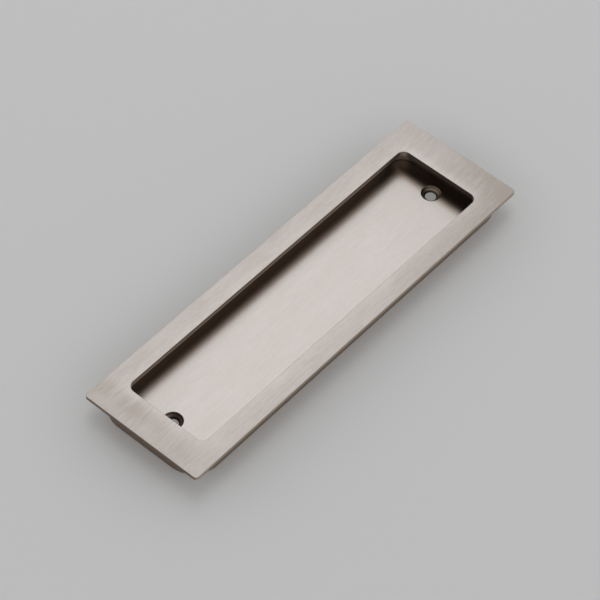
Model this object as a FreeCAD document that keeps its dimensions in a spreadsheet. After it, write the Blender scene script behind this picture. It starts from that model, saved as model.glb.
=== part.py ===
import FreeCAD, Part
import math
import os

import Sketcher

# Flush pull for a pocket door, milled in one piece.
#
# A thin flange covers the edge of the mortise. Behind it a body with wide round corners drops into
# the mortise. The recess is entered through a rounded opening and is wider than it all round, so
# fingers can hook under the lip. Two countersunk screw holes pierce the floor of the recess.
#
# Frame: origin at the centre of the back face, X along the length, Y across, Z out of the front.
# All sizes are in millimetres.

# Driving sizes: name, value, meaning.
SIZES = [
    ("flange_length", 203.5, "length of the visible plate"),
    ("flange_width", 60.0, "width of the visible plate"),
    ("flange_thickness", 1.6, "thickness of the plate where it overlaps the door"),
    ("flange_corner_radius", 1.6, "plan radius of the plate's corners"),
    ("front_edge_radius", 0.2, "rounding of the plate's front edge"),
    ("flange_overlap", 2.3, "how far the plate reaches past the body"),
    ("body_corner_radius", 13.4, "plan radius of the body's corners, for a routed mortise"),
    ("back_edge_radius", 2.8, "rounding between the body's sides and its back face"),
    ("frame_end_width", 14.7, "from the plate's end to the opening"),
    ("frame_side_width", 9.6, "from the plate's side to the opening"),
    ("opening_corner_radius", 3.6, "plan radius of the opening's corners"),
    ("opening_edge_radius", 0.25, "rounding of the opening's front edge"),
    ("lip_thickness", 2.4, "depth of the lip's own edge below the front face"),
    ("lip_undercut", 3.3, "how far the recess runs back under the lip"),
    ("recess_depth", 8.95, "from the front face to the floor of the recess"),
    ("floor_thickness", 2.1, "metal behind the floor of the recess"),
    ("hole_end_distance", 4.85, "from the opening's end to the centre of a screw hole"),
    ("hole_diameter", 4.9, "clearance for the screw's shank"),
    ("countersink_land", 0.1, "straight part of the hole left below the countersink"),
    ("countersink_angle", 90.0, "included angle of the countersink, in degrees"),
]
SHEET = "Sizes"
TOLERANCE = 1e-4


def make_sheet(doc):
    """A spreadsheet that holds every driving size under its own alias."""
    sheet = doc.addObject("Spreadsheet::Sheet", SHEET)
    for row, (alias, value, meaning) in enumerate(SIZES, start=1):
        sheet.set(f"A{row}", meaning)
        sheet.set(f"B{row}", str(value))
        sheet.setAlias(f"B{row}", alias)
    doc.recompute()
    return sheet


def cell(name):
    return f"{SHEET}.{name}"


# Sizes that follow from the driving ones, as expressions.
OPENING_LENGTH = f"({cell('flange_length')} - 2 * {cell('frame_end_width')})"
OPENING_WIDTH = f"({cell('flange_width')} - 2 * {cell('frame_side_width')})"
FRONT_HEIGHT = f"({cell('recess_depth')} + {cell('floor_thickness')})"
FLANGE_BACK_HEIGHT = f"({FRONT_HEIGHT} - {cell('flange_thickness')})"


def origin_plane(body, role):
    return next(part for part in body.Origin.OriginFeatures if part.Role == role)


def add_sketch(body, name, role, height=None):
    """A sketch on one of the body's own planes, raised along the plane's normal by an expression."""
    sketch = body.newObject("Sketcher::SketchObject", name)
    sketch.AttachmentSupport = [(origin_plane(body, role), "")]
    sketch.MapMode = "FlatFace"
    if height:
        sketch.setExpression("AttachmentOffset.Base.z", height)
    return sketch


def bind(sketch, index, name, expression):
    sketch.renameConstraint(index, name)
    sketch.setExpression(f"Constraints.{name}", expression)


def rounded_rectangle(sketch, length, width, radius):
    """A centred rectangle with round corners, its three sizes tied to expressions."""
    half_x, half_y, corner = 40.0, 20.0, 5.0
    vector = FreeCAD.Vector
    corners = [(1, -1), (1, 1), (-1, 1), (-1, -1)]
    starts = [-90, 0, 90, 180]
    sides = [
        (vector(corner - half_x, -half_y), vector(half_x - corner, -half_y)),
        (vector(half_x, corner - half_y), vector(half_x, half_y - corner)),
        (vector(half_x - corner, half_y), vector(corner - half_x, half_y)),
        (vector(-half_x, half_y - corner), vector(-half_x, corner - half_y)),
    ]
    up = vector(0, 0, 1)
    for (start, end), (sx, sy), angle in zip(sides, corners, starts):
        sketch.addGeometry(Part.LineSegment(start, end), False)
        centre = vector(sx * (half_x - corner), sy * (half_y - corner))
        first, last = math.radians(angle), math.radians(angle + 90)
        arc = Part.ArcOfCircle(Part.Circle(centre, up, corner), first, last)
        sketch.addGeometry(arc, False)
    bottom, right, top, left = 0, 2, 4, 6
    for line in (bottom, top):
        sketch.addConstraint(Sketcher.Constraint("Horizontal", line))
    for line in (right, left):
        sketch.addConstraint(Sketcher.Constraint("Vertical", line))
    for index in range(8):
        sketch.addConstraint(Sketcher.Constraint("Tangent", index, 2, (index + 1) % 8, 1))
    for first, second in ((1, 3), (3, 5), (5, 7)):
        sketch.addConstraint(Sketcher.Constraint("Equal", first, second))
    sketch.addConstraint(Sketcher.Constraint("Symmetric", bottom, 1, top, 1, -1, 1))
    sizes = [
        (Sketcher.Constraint("DistanceX", left, 1, right, 1, 2 * half_x), "length", length),
        (Sketcher.Constraint("DistanceY", bottom, 1, top, 1, 2 * half_y), "width", width),
        (Sketcher.Constraint("Radius", 1, corner), "radius", radius),
    ]
    for constraint, name, expression in sizes:
        bind(sketch, sketch.addConstraint(constraint), name, expression)


def add_pad(body, name, sketch, length):
    pad = body.newObject("PartDesign::Pad", name)
    pad.Profile = sketch
    pad.setExpression("Length", length)
    return pad


def add_pocket(body, name, sketch, depth, reverse):
    pocket = body.newObject("PartDesign::Pocket", name)
    pocket.Profile = sketch
    pocket.setExpression("Length", depth)
    pocket.Reversed = reverse
    return pocket


def add_fillet(body, name, radius, wanted):
    """Rounds every edge of the newest feature that the test `wanted` picks."""
    base = body.Tip
    picked = [f"Edge{i}" for i, edge in enumerate(base.Shape.Edges, start=1) if wanted(edge)]
    fillet = body.newObject("PartDesign::Fillet", name)
    fillet.Base = (base, picked)
    fillet.setExpression("Radius", radius)
    return fillet


def level(edge, height):
    """True where the whole edge lies at one height."""
    box = edge.BoundBox
    return abs(box.ZMin - height) < TOLERANCE and abs(box.ZMax - height) < TOLERANCE


def outside(edge, half_length, half_width):
    """True where the edge lies on or beyond a centred rectangle, its round corners apart."""
    point = edge.valueAt((edge.FirstParameter + edge.LastParameter) / 2)
    return abs(point.x) > half_length or abs(point.y) > half_width


def screw_holes(body):
    """The countersunk hole's half section, turned about its own axis and mirrored to the far end."""
    sketch = add_sketch(body, "HoleSection", "XZ_Plane")
    sketch.setExpression(
        "AttachmentOffset.Base.x", f"{OPENING_LENGTH} / 2 - {cell('hole_end_distance')}"
    )
    shank, head, land, floor = 2.0, 4.0, 0.5, 2.5
    outline = [(0, 0), (shank, 0), (shank, land), (head, floor), (0, floor)]
    vector = FreeCAD.Vector
    for index, (r, z) in enumerate(outline):
        next_r, next_z = outline[(index + 1) % len(outline)]
        sketch.addGeometry(Part.LineSegment(vector(r, z), vector(next_r, next_z)), False)
    back, wall, cone, top, axis = range(5)
    for index in range(5):
        sketch.addConstraint(Sketcher.Constraint("Coincident", index, 2, (index + 1) % 5, 1))
    sketch.addConstraint(Sketcher.Constraint("Coincident", back, 1, -1, 1))
    for line in (back, top):
        sketch.addConstraint(Sketcher.Constraint("Horizontal", line))
    for line in (wall, axis):
        sketch.addConstraint(Sketcher.Constraint("Vertical", line))
    cone_depth = f"({cell('floor_thickness')} - {cell('countersink_land')})"
    shank_radius = f"{cell('hole_diameter')} / 2"
    mouth_radius = f"{shank_radius} + {cone_depth} * tan({cell('countersink_angle')} * 0.5 deg)"
    sizes = [
        (Sketcher.Constraint("DistanceX", back, 1, back, 2, shank), "shank", shank_radius),
        (Sketcher.Constraint("DistanceX", top, 2, top, 1, head), "mouth", mouth_radius),
        (Sketcher.Constraint("DistanceY", axis, 2, axis, 1, floor), "floor", cell("floor_thickness")),
        (Sketcher.Constraint("DistanceY", cone, 1, cone, 2, floor - land), "cone", cone_depth),
    ]
    for constraint, name, expression in sizes:
        bind(sketch, sketch.addConstraint(constraint), name, expression)
    groove = body.newObject("PartDesign::Groove", "ScrewHole")
    groove.Profile = sketch
    groove.ReferenceAxis = (sketch, ["V_Axis"])
    groove.Angle = 360
    body.Document.recompute()
    mirrored = body.newObject("PartDesign::Mirrored", "ScrewHoles")
    mirrored.Originals = [groove]
    mirrored.MirrorPlane = (origin_plane(body, "YZ_Plane"), [""])
    body.Tip = mirrored


def flush_pull(doc, sheet):
    """The whole pull, in the order in which it would be machined."""
    body = doc.addObject("PartDesign::Body", "FlushPull")
    body.Label = "flush_pull"
    plug = add_sketch(body, "BodyOutline", "XY_Plane")
    overlap = cell("flange_overlap")
    rounded_rectangle(
        plug,
        f"{cell('flange_length')} - 2 * {overlap}",
        f"{cell('flange_width')} - 2 * {overlap}",
        cell("body_corner_radius"),
    )
    add_pad(body, "BodyBlock", plug, FLANGE_BACK_HEIGHT)

    plate = add_sketch(body, "FlangeOutline", "XY_Plane", FLANGE_BACK_HEIGHT)
    rounded_rectangle(
        plate, cell("flange_length"), cell("flange_width"), cell("flange_corner_radius")
    )
    add_pad(body, "Flange", plate, cell("flange_thickness"))

    mouth = add_sketch(body, "OpeningOutline", "XY_Plane", FRONT_HEIGHT)
    rounded_rectangle(mouth, OPENING_LENGTH, OPENING_WIDTH, cell("opening_corner_radius"))
    add_pocket(body, "Opening", mouth, cell("recess_depth"), reverse=False)

    under = add_sketch(body, "RecessOutline", "XY_Plane", cell("floor_thickness"))
    undercut = cell("lip_undercut")
    rounded_rectangle(
        under,
        f"{OPENING_LENGTH} + 2 * {undercut}",
        f"{OPENING_WIDTH} + 2 * {undercut}",
        f"{cell('opening_corner_radius')} + {undercut}",
    )
    add_pocket(
        body, "Undercut", under, f"{cell('recess_depth')} - {cell('lip_thickness')}", reverse=True
    )
    doc.recompute()

    screw_holes(body)
    doc.recompute()

    front_height = sheet.recess_depth + sheet.floor_thickness
    half_length = sheet.flange_length / 2 - sheet.frame_end_width + TOLERANCE
    half_width = sheet.flange_width / 2 - sheet.frame_side_width + TOLERANCE
    add_fillet(
        body, "FrontEdge", cell("front_edge_radius"),
        lambda edge: level(edge, front_height) and outside(edge, half_length, half_width),
    )
    doc.recompute()
    add_fillet(
        body, "OpeningEdge", cell("opening_edge_radius"),
        lambda edge: level(edge, front_height) and not outside(edge, half_length, half_width),
    )
    doc.recompute()
    add_fillet(
        body, "BackEdge", cell("back_edge_radius"),
        lambda edge: level(edge, 0.0) and outside(edge, half_length, half_width),
    )
    return body


def check(doc, parts):
    """Stops the build where a feature failed or a part isn't one sound solid."""
    for item in doc.Objects:
        failed = [state for state in item.State if state in ("Invalid", "Error")]
        if failed:
            raise RuntimeError(f"{item.Name} is {failed[0]}")
    for item in doc.Objects:
        if item.TypeId in ("PartDesign::Pocket", "PartDesign::Groove"):
            if item.Shape.Volume > item.BaseFeature.Shape.Volume - TOLERANCE:
                raise RuntimeError(f"{item.Name} cuts nothing")
    for part in parts:
        shape = part.Shape
        if shape.isNull() or not shape.isValid() or len(shape.Solids) != 1:
            raise RuntimeError(f"{part.Label} isn't one sound solid")


def main():
    doc = FreeCAD.newDocument("PocketDoorPull")
    sheet = make_sheet(doc)
    parts = [flush_pull(doc, sheet)]
    doc.recompute()
    check(doc, parts)
    os.makedirs("parts", exist_ok=True)
    for part in parts:
        part.Shape.exportStep(f"parts/{part.Label}.step")
        print(part.Label, "volume", round(part.Shape.Volume, 1), "faces", len(part.Shape.Faces))


main()
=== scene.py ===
import math

import bpy
from mathutils import Matrix, Vector


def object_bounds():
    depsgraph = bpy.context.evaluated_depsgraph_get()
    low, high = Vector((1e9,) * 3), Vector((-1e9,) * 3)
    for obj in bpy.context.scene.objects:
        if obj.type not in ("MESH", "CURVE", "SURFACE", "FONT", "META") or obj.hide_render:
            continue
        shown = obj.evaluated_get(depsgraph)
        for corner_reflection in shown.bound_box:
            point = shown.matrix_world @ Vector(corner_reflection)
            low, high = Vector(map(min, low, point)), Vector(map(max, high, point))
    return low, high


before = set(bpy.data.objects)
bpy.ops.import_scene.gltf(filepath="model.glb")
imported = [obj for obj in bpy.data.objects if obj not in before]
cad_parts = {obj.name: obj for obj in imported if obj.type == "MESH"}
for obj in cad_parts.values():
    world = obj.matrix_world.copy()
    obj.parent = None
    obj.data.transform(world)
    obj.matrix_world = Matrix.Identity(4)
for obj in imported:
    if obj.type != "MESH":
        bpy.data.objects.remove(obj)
CAD_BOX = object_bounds()

# All lengths are in metres, and heights are above the part's back face
FRONT_HEIGHT = CAD_BOX[1].z
LIP_UNDERSIDE = FRONT_HEIGHT - 0.0024
FLOOR_HEIGHT = 0.0021

# Screw holes: distance from the middle, and radius of the bore and of the countersink
HOLE_X, HOLE_R, SINK_R = 0.0822, 0.00245, 0.00445

# The opening in the plate, and the plate's width round it at the ends and at the sides
FRAME_END, FRAME_SIDE = 0.0147, 0.0096
OPENING_HALF = (CAD_BOX[1].x - FRAME_END, CAD_BOX[1].y - FRAME_SIDE)
OPENING_CORNER = 0.0036

# Brush marks: length and width of the short and of the long ones, and the parts that make up the grain
SHORT_MARK, LONG_MARK = (0.0028, 0.00031), (0.0070, 0.00052)
SHORT_PART, LONG_PART, STREAK_PART = 0.40, 0.40, 0.20
# Each row is shifted by up to so many marks, and on upright faces the rows follow the height at this rate
ROW_SHIFT, HEIGHT_RATE = 7.0, 1.37

# Noise scales along X, Y and Z
STREAKS = (14, 700, 700)
CLOUDS = (35, 90, 90)
PATCHES = (110, 45, 45)
FINE_LINES = (45, 2600, 2600)
RINGS = (2600, 1, 1)

# The tone of the level faces: what is always there, what the noises add, and gains and losses by place
BASE_TONE, GRAIN_TONE, CLOUD_TONE = 0.29, 0.18, 0.24
# The rim's gain and the patch's gain are painted highlight
RIM_HIGHLIGHT_GAIN, FLOOR_GAIN, HIGHLIGHT_GAIN = 0.07, 0.06, 0.10
# The side's loss is painted shade
SIDE_SHADE_LOSS, END_LOSS = 0.13, 0.08
TURN_LOSS, END_RANGE = (0.04, 0.14), (0.45, 1.0)
DULL_TO_BRIGHT = (0.30, 0.80)

# How much of a colour is mixed in at most
FLOOR_PART = 0.38
BOUNCE_PART, BOUNCE_END_PART = 0.65, 0.60
SHADE_PART, SHADE_END_PART = 0.72, 0.90
END_REFLECTION_PART, END_SHADE_PART, LIP_REFLECTION_PART = 0.42, 0.60, 0.75

# Bands where one tone goes over into another, each from its start to its end.
# These go by height:
FRONT_BAND = (FRONT_HEIGHT - 0.0012, FRONT_HEIGHT - 0.0004)
LIP_TOP_BAND = (FRONT_HEIGHT - 0.0010, FRONT_HEIGHT - 0.0006)
LIP_FOOT_BAND = (LIP_UNDERSIDE - 0.0001, LIP_UNDERSIDE + 0.0001)
FLOOR_BAND = (FLOOR_HEIGHT + 0.0004, FLOOR_HEIGHT + 0.0010)
WALL_FOOT_BAND = (FLOOR_HEIGHT + 0.0002, FLOOR_HEIGHT + 0.0005)
SUNK_BAND = (FLOOR_HEIGHT - 0.00008, FLOOR_HEIGHT - 0.00002)
# By distance outside the opening's outline:
RIM_BAND = (0.0, 0.006)
RECESS_BAND = (0.0045, 0.0055)
BOUNCE_BAND = (-0.0055, -0.0015)
SHADE_BAND = (-0.0026, 0.0010)
# By distance from a hole's axis:
BORE_BAND = (HOLE_R + 0.0002, HOLE_R + 0.0007)
SINK_BAND = (SINK_R + 0.0001, SINK_R + 0.0004)
# Along X, the last two on both sides of the middle:
HIGHLIGHT_START = (0.0868, 0.0870)
HIGHLIGHT_END = (0.0870, 0.0915)
BOUNCE_END = (0.0775, 0.0830)
SHADE_END = (0.0818, 0.0850)
DULL_END = (0.086, 0.099)
# Along Y, the first on both sides of the middle:
HIGHLIGHT_SIDE = (0.015, 0.023)
TURN_SIDE = (-0.008, 0.010)
CORNER_SIDE = (-0.005, 0.005)
END_REFLECTION_BAND = (0.004, 0.021)
END_SHADE_BAND = (-0.0200, 0.0020)
# From the middle of the band where the brush turned, and slantwise towards the side of the plate with
# painted shade:
TURN_X, TURN_BAND = -0.0930, (0.001, 0.006)
SHADE_SLANT, SHADE_SIDE = 0.5, (0.032, 0.075)
# By how far a face turns towards Z, towards X, and towards both X and Y:
LEVEL, FLAT = (0.70, 0.97), (0.93, 0.99)
END_FACE, CORNER_FACE = (0.72, 1.0), (0.05, 0.48)
# By the value of a noise:
STREAK_BAND, PATCH_BAND, RING_BAND = (0.35, 0.65), (0.40, 0.62), (0.38, 0.62)

# Roughness from the streaks, what the clouds add, and what upright faces add
STREAK_ROUGHNESS, CLOUD_ROUGHNESS, UPRIGHT_ROUGHNESS = (0.28, 0.30), 0.03, 0.16
BUMP_STRENGTH, BUMP_DEPTH = 0.02, 0.00003

COLOURS = {
    # Level faces: the dullest and the brightest brush marks, the recess's floor, and on it painted warm
    # bounce light and painted shade
    "dull": (0.420, 0.374, 0.338),
    "bright": (0.702, 0.651, 0.624),
    "recess_floor": (0.74, 0.705, 0.675),
    "floor_painted_bounce": (0.77, 0.615, 0.49),
    "floor_painted_shade": (0.15, 0.115, 0.09),
    # Upright faces, on the long sides and at the ends; their darker tones, most of all at the ends and in
    # the recess, are painted shade, and the corners' paler tones painted reflection
    "plate_side": (0.48, 0.395, 0.325),
    "plate_end": (0.225, 0.175, 0.135),
    "lip_side": (0.46, 0.37, 0.30),
    "lip_side_top": (0.24, 0.19, 0.15),
    "lip_end": (0.165, 0.127, 0.095),
    "lip_end_top": (0.10, 0.078, 0.058),
    "lip_end_painted_shade": (0.04, 0.031, 0.024),
    "lip_corner_painted_reflection": (0.64, 0.56, 0.49),
    "body_side": (0.305, 0.237, 0.183),
    "body_end": (0.25, 0.19, 0.143),
    "wall_side": (0.28, 0.22, 0.175),
    "wall_end": (0.11, 0.085, 0.065),
    "wall_end_painted_shade": (0.02, 0.016, 0.012),
    "wall_corner_painted_reflection": (0.62, 0.54, 0.47),
    "wall_foot_painted_shade": (0.07, 0.05, 0.04),
    # Countersinks: grooves and ridges of the turned rings, and the bore's painted shade
    "groove": (0.07, 0.052, 0.038),
    "ridge": (0.40, 0.315, 0.245),
    "bore": (0.04, 0.03, 0.022),
}

# Camera, fitted to the plate's corners in the 600 x 600 photograph
IMAGE_PX = 600
FOCAL_PX = 2684.8
SENSOR_MM = 36.0
CLIP = (0.05, 20.0)
CAMERA_FROM_FRONT = Vector((-0.55678, -0.41943, 0.85958))
RIGHT = Vector((0.65123, -0.75732, 0.04857))
FORWARD = Vector((0.49894, 0.37907, -0.77934))

# Softboxes: name, azimuth and elevation in degrees, distance, size and radiance
LAMPS = (
    ("key", 41.5, 51.5, 1.6, (0.74, 0.73), 0.55),
    ("key_low", 40.0, 45.0, 1.6, (0.74, 0.73), 0.35),
    ("high", 45.0, 76.0, 1.8, (0.80, 0.80), 1.12),
)

# The studio's walls go over into its ceiling in this band of heights on the unit sphere
CEILING_BAND = (0.42, 0.64)
WALL_STRENGTH, CEILING_STRENGTH = 1.0, 0.26

# The ground lies a little below the back face, so that the two never coincide
GROUND_HALF, GROUND_DROP = 3.0, 0.0001
GROUND_TONE, GROUND_ROUGHNESS, GROUND_SHINE = (0.88, 0.88, 0.88, 1.0), 0.9, 0.1


class Value:
    """A node's output that takes part in plain arithmetic, each sum or product a node of its own."""

    def __init__(self, tree, socket):
        self.tree = tree
        self.socket = socket

    def __add__(self, other):
        return self.tree.calculate("ADD", self, other)

    def __sub__(self, other):
        return self.tree.calculate("SUBTRACT", self, other)

    def __mul__(self, other):
        return self.tree.calculate("MULTIPLY", self, other)

    __rmul__ = __mul__

    def __truediv__(self, other):
        return self.tree.calculate("DIVIDE", self, other)

    def __abs__(self):
        return self.tree.calculate("ABSOLUTE", self)

    def whole(self):
        return self.tree.calculate("FLOOR", self)

    def root(self):
        return self.tree.calculate("SQRT", self)

    def larger(self, other):
        return self.tree.calculate("MAXIMUM", self, other)

    def smaller(self, other):
        return self.tree.calculate("MINIMUM", self, other)

    def fade(self, band, low=0.0, high=1.0, smooth=False):
        """Goes from low at the band's start to high at its end, and holds both beyond it."""
        node = self.tree.nodes.new("ShaderNodeMapRange")
        if smooth:
            node.interpolation_type = "SMOOTHSTEP"
        for name, limit in zip(("From Min", "From Max", "To Min", "To Max"), (*band, low, high)):
            node.inputs[name].default_value = limit
        self.tree.put(self, node.inputs["Value"])
        return Value(self.tree, node.outputs["Result"])


class Nodes:
    """A node tree, with short calls for the nodes used here."""

    def __init__(self, node_tree):
        self.nodes, self.links = node_tree.nodes, node_tree.links

    def put(self, value, socket):
        """Links a Value to a socket, or sets a named colour or a plain number on it."""
        if isinstance(value, Value):
            self.links.new(value.socket, socket)
        elif isinstance(value, str):
            socket.default_value = (*COLOURS[value], 1.0)
        else:
            socket.default_value = value

    def output(self, kind, name):
        return Value(self, self.nodes.new(kind).outputs[name])

    def split(self, vector):
        node = self.nodes.new("ShaderNodeSeparateXYZ")
        self.put(vector, node.inputs[0])
        return [Value(self, socket) for socket in node.outputs]

    def join(self, first, second=0.0):
        node = self.nodes.new("ShaderNodeCombineXYZ")
        self.put(first, node.inputs[0])
        self.put(second, node.inputs[1])
        return Value(self, node.outputs[0])

    def calculate(self, operation, first, second=0.0):
        node = self.nodes.new("ShaderNodeMath")
        node.operation = operation
        self.put(first, node.inputs[0])
        self.put(second, node.inputs[1])
        return Value(self, node.outputs[0])

    def mix(self, factor, first, second):
        node = self.nodes.new("ShaderNodeMix")
        node.data_type = "RGBA"
        colours = [socket for socket in node.inputs if socket.type == "RGBA"]
        self.put(factor, node.inputs[0])
        self.put(first, colours[0])
        self.put(second, colours[1])
        return Value(self, next(socket for socket in node.outputs if socket.type == "RGBA"))

    def noise(self, place, scale):
        """Noise with a scale of its own along each axis."""
        mapping = self.nodes.new("ShaderNodeMapping")
        mapping.inputs["Scale"].default_value = scale
        self.put(place, mapping.inputs["Vector"])
        node = self.nodes.new("ShaderNodeTexNoise")
        node.inputs["Scale"].default_value = 1.0
        node.inputs["Detail"].default_value = 2.0
        self.links.new(mapping.outputs["Vector"], node.inputs["Vector"])
        return Value(self, node.outputs["Fac"])

    def random(self, first, second=0.0):
        """A random value from 0 to 1, steady for each pair of whole numbers."""
        node = self.nodes.new("ShaderNodeTexWhiteNoise")
        node.noise_dimensions = "2D"
        self.put(self.join(first, second), node.inputs["Vector"])
        return Value(self, node.outputs["Value"])

    def dashes(self, along, across, length, width):
        """Rows of dashes, each dash of one random value and each row with a start of its own."""
        row = (across / width).whole()
        dash = (along * (1 / length) + self.random(row) * ROW_SHIFT).whole()
        return self.random(row, dash)


def new_material(name):
    """A material, its nodes and its shader."""
    material = bpy.data.materials.new(name)
    material.use_nodes = True
    tree = Nodes(material.node_tree)
    tree.nodes.clear()
    shader = tree.nodes.new("ShaderNodeBsdfPrincipled")
    output = tree.nodes.new("ShaderNodeOutputMaterial")
    tree.links.new(shader.outputs["BSDF"], output.inputs["Surface"])
    return material, tree, shader


class SatinNickel:
    """Warm grey metal, brushed along the length, with painted highlight, reflection and shade in places.
    Each region of the part has a method of its own.
    """

    def __init__(self):
        self.material, self.tree, self.shader = new_material("satin_nickel")
        self.place = self.tree.output("ShaderNodeTexCoord", "Object")
        self.x, self.y, self.z = self.tree.split(self.place)
        normal = self.tree.output("ShaderNodeNewGeometry", "Normal")
        self.facing_x, self.facing_y, self.facing_z = (abs(side) for side in self.tree.split(normal))

        self.level = self.facing_z.fade(LEVEL, smooth=True)
        self.end_face = self.facing_x.fade(END_FACE, smooth=True)
        self.beyond = self.beyond_opening()
        self.on_floor = self.z.fade(FLOOR_BAND, 1.0, 0.0) * self.level
        self.streak = self.tree.noise(self.place, STREAKS)
        self.cloud = self.tree.noise(self.place, CLOUDS)

        colour = self.tree.mix(self.level, self.upright_faces(), self.level_faces())
        colour = self.recess_floor(colour)
        colour = self.countersinks(colour)
        self.tree.put(colour, self.shader.inputs["Base Color"])
        self.tree.put(self.roughness(), self.shader.inputs["Roughness"])
        self.shader.inputs["Metallic"].default_value = 1.0
        self.bump()

    def beyond_opening(self):
        """Distance outside the opening's rounded outline, and less than zero inside it."""
        out_x = abs(self.x) - (OPENING_HALF[0] - OPENING_CORNER)
        out_y = abs(self.y) - (OPENING_HALF[1] - OPENING_CORNER)
        corner_x, corner_y = out_x.larger(0.0), out_y.larger(0.0)
        outside = (corner_x * corner_x + corner_y * corner_y).root()
        return outside - OPENING_CORNER + out_x.larger(out_y).smaller(0.0)

    def brush_marks(self):
        """Short and long dashes along X over soft streaks."""
        across = HEIGHT_RATE * self.z + self.y
        short = self.tree.dashes(self.x, across, *SHORT_MARK)
        long = self.tree.dashes(self.x, across, *LONG_MARK)
        return SHORT_PART * short + LONG_PART * long + STREAK_PART * self.streak

    def level_faces(self):
        """The front and the recess's floor, from dull to bright."""
        on_front = self.z.fade(FRONT_BAND)
        # Painted highlight on the front, brightest at the opening's rim
        rim_highlight = self.beyond.fade(RIM_BAND, 1.0, 0.0, smooth=True)
        # Painted shade: the front darkens slantwise towards +X and -Y, where its highlight fades
        side_shade = (SHADE_SLANT * self.x - self.y).fade(SHADE_SIDE, 0.0, SIDE_SHADE_LOSS)
        tone = GRAIN_TONE * self.brush_marks() + CLOUD_TONE * self.cloud + BASE_TONE
        tone = tone + RIM_HIGHLIGHT_GAIN * rim_highlight * on_front + FLOOR_GAIN * self.on_floor - side_shade * on_front

        # Duller patches at both ends
        ends = abs(self.x).fade(DULL_END, smooth=True)
        patches = self.tree.noise(self.place, PATCHES).fade(PATCH_BAND, *END_RANGE)
        tone = tone - END_LOSS * ends * patches

        # Painted highlight: a bright patch between the opening and the end at +X
        bright = self.x.fade(HIGHLIGHT_START, 0.0, HIGHLIGHT_GAIN) * self.x.fade(HIGHLIGHT_END, 1.0, 0.0, smooth=True)
        tone = tone + bright * abs(self.y).fade(HIGHLIGHT_SIDE, 1.0, 0.0, smooth=True)

        # A dull streaky band at the end at -X, where the brush turned
        turn = abs(self.x - TURN_X).fade(TURN_BAND, 1.0, 0.0, smooth=True)
        turn = turn * self.y.fade(TURN_SIDE, smooth=True) * self.streak.fade(STREAK_BAND, *TURN_LOSS)
        return self.tree.mix((tone - turn).fade(DULL_TO_BRIGHT), "dull", "bright")

    def upright_faces(self):
        """The plate's and the lip's edges, the body's outside and the recess's walls, darkened with painted
        shade, most of all at the ends and in the recess, and paler in the corners with painted reflection.
        """
        mix = self.tree.mix
        above_lip = self.z.fade(LIP_FOOT_BAND)
        inside = self.beyond.fade(RECESS_BAND, 1.0, 0.0)

        # Painted reflection lightens the walls in the corners at +Y, and painted shade darkens them at the
        # ends towards -Y
        corner_reflection = (self.facing_x * self.facing_y).fade(CORNER_FACE, smooth=True)
        end_reflection = self.end_face * self.y.fade(END_REFLECTION_BAND, 0.0, END_REFLECTION_PART, smooth=True)
        corner_reflection = corner_reflection.larger(end_reflection) * self.y.fade(CORNER_SIDE)
        # Painted shade on the ends' walls and lip, deepest towards -Y
        darker = self.y.fade(END_SHADE_BAND, END_SHADE_PART, 0.0)

        # The lip's edge is darker near the front
        upper = self.z.fade(LIP_TOP_BAND)
        lip_side = mix(upper, "lip_side", "lip_side_top")
        lip_end = mix(darker, mix(upper, "lip_end", "lip_end_top"), "lip_end_painted_shade")
        # Painted reflection: the lip is paler in the corners at +Y
        lip = mix(LIP_REFLECTION_PART * corner_reflection, mix(self.end_face, lip_side, lip_end), "lip_corner_painted_reflection")
        # On the plate's, the lip's, the body's and the walls' ends, darker tones stand for painted shade
        edges = mix(inside, mix(self.end_face, "plate_side", "plate_end"), lip)

        # The recess's walls and the body's outside take darker tones than the edges: painted shade
        walls = mix(self.end_face, "wall_side", mix(darker, "wall_end", "wall_end_painted_shade"))
        walls = mix(corner_reflection, walls, "wall_corner_painted_reflection")
        low = mix(inside, mix(self.end_face, "body_side", "body_end"), walls)
        # Painted shade in a band at the bottom of the recess's walls
        foot = inside * self.z.fade(WALL_FOOT_BAND, 1.0, 0.0)
        return mix(above_lip, mix(foot, low, "wall_foot_painted_shade"), edges)

    def recess_floor(self, colour):
        """The floor is paler, with painted warm bounce light along the rim and by the end at +X, and
        painted shade under the lip and at both ends.
        """
        colour = self.tree.mix(FLOOR_PART * self.on_floor, colour, "recess_floor")
        # Painted warm bounce light on the floor, in a band along the rim and by the end at +X
        bounce_along_rim = self.beyond.fade(BOUNCE_BAND, 0.0, BOUNCE_PART, smooth=True)
        bounce_at_far_end = self.x.fade(BOUNCE_END, 0.0, BOUNCE_END_PART, smooth=True)
        colour = self.tree.mix(bounce_along_rim.larger(bounce_at_far_end) * self.on_floor, colour, "floor_painted_bounce")
        # Painted shade on the floor under the lip and by both ends
        shade_under_lip = self.beyond.fade(SHADE_BAND, 0.0, SHADE_PART, smooth=True)
        shade_at_ends = abs(self.x).fade(SHADE_END, 0.0, SHADE_END_PART, smooth=True)
        return self.tree.mix(shade_under_lip.larger(shade_at_ends) * self.on_floor, colour, "floor_painted_shade")

    def countersinks(self, colour):
        """Turned rings on the cones, and bores dark with painted shade."""
        to_hole = abs(self.x) - HOLE_X
        radius = (to_hole * to_hole + self.y * self.y).root()
        rings = self.tree.noise(self.tree.join(radius), RINGS).fade(RING_BAND)
        # Painted shade in the bores and the cones' inner rim
        in_bore = radius.fade(BORE_BAND, 1.0, 0.0)
        cone = self.tree.mix(in_bore, self.tree.mix(rings, "groove", "ridge"), "bore")
        sunk = self.z.fade(SUNK_BAND, 1.0, 0.0) * radius.fade(SINK_BAND, 1.0, 0.0)
        return self.tree.mix(sunk, colour, cone)

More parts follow.
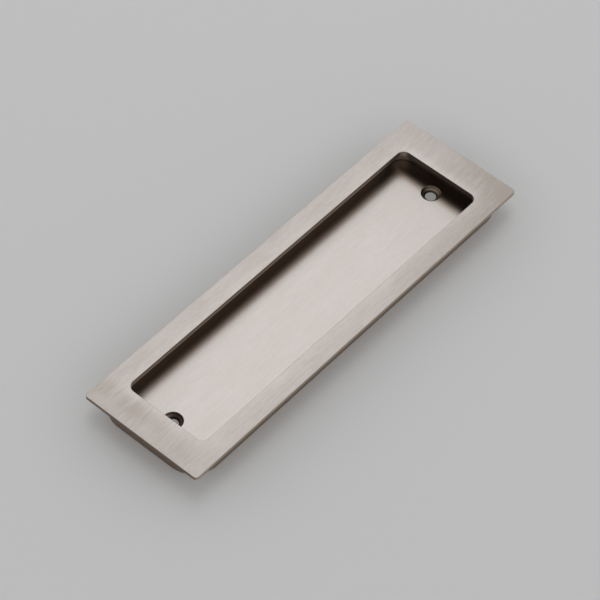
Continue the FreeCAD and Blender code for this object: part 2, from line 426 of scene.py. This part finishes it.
    def roughness(self):
        """Streaky and cloudy, and rougher off the level faces."""
        upright = self.facing_z.fade(FLAT, UPRIGHT_ROUGHNESS, 0.0)
        return CLOUD_ROUGHNESS * self.cloud + self.streak.fade(STREAK_BAND, *STREAK_ROUGHNESS) + upright

    def bump(self):
        """Fine lines along X on the level faces."""
        node = self.tree.nodes.new("ShaderNodeBump")
        node.inputs["Strength"].default_value = BUMP_STRENGTH
        node.inputs["Distance"].default_value = BUMP_DEPTH
        self.tree.put(self.tree.noise(self.place, FINE_LINES) * self.level, node.inputs["Height"])
        self.tree.links.new(node.outputs["Normal"], self.shader.inputs["Normal"])


def dress_node():
    material = SatinNickel().material
    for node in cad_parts.values():
        for slot in node.material_slots:
            slot.material = material


def make_camera():
    data = bpy.data.cameras.new("camera")
    data.sensor_width = SENSOR_MM
    data.lens = FOCAL_PX * SENSOR_MM / IMAGE_PX
    data.clip_start, data.clip_end = CLIP
    camera = bpy.data.objects.new("camera", data)
    bpy.context.collection.objects.link(camera)
    back = -FORWARD.normalized()
    right = (RIGHT - RIGHT.dot(back) * back).normalized()
    turn = Matrix((right, back.cross(right), back)).transposed().to_4x4()
    camera.matrix_world = Matrix.Translation(CAMERA_FROM_FRONT + Vector((0, 0, FRONT_HEIGHT))) @ turn
    bpy.context.scene.camera = camera


def make_floor():
    material, _, shader = new_material("floor_paint")
    shader.inputs["Base Color"].default_value = GROUND_TONE
    shader.inputs["Roughness"].default_value = GROUND_ROUGHNESS
    shader.inputs["Specular IOR Level"].default_value = GROUND_SHINE
    square = ((-1, -1), (1, -1), (1, 1), (-1, 1))
    corners = [(GROUND_HALF * x, GROUND_HALF * y, -GROUND_DROP) for x, y in square]
    mesh = bpy.data.meshes.new("floor")
    mesh.from_pydata(corners, [], [(0, 1, 2, 3)])
    mesh.materials.append(material)
    floor = bpy.data.objects.new("floor", mesh)
    bpy.context.collection.objects.link(floor)


def area_light(name, azimuth, elevation, distance, size, radiance):
    """A softbox that faces the object, at a compass direction from +X towards +Y."""
    turn, rise = math.radians(azimuth), math.radians(elevation)
    flat = math.cos(rise)
    place = distance * Vector((math.cos(turn) * flat, math.sin(turn) * flat, math.sin(rise)))
    data = bpy.data.lights.new(name, "AREA")
    data.shape = "RECTANGLE"
    data.size, data.size_y = size
    data.energy = radiance * math.pi * size[0] * size[1]
    light = bpy.data.objects.new(name, data)
    bpy.context.collection.objects.link(light)
    light.location = place
    light.rotation_mode = "QUATERNION"
    light.rotation_quaternion = (-place).to_track_quat("-Z", "Y")


def make_world():
    """Bright walls low round the studio, under a darker ceiling."""
    world = bpy.data.worlds.new("studio")
    world.use_nodes = True
    tree = Nodes(world.node_tree)
    height = tree.split(tree.output("ShaderNodeTexCoord", "Generated"))[2]
    background = tree.nodes["Background"]
    background.inputs["Color"].default_value = (1, 1, 1, 1)
    strength = height.fade(CEILING_BAND, WALL_STRENGTH, CEILING_STRENGTH)
    tree.put(strength, background.inputs["Strength"])
    bpy.context.scene.world = world


bpy.context.scene.view_settings.view_transform = "Standard"
make_camera()
dress_node()
make_floor()
for lamp in LAMPS:
    area_light(*lamp)
make_world()
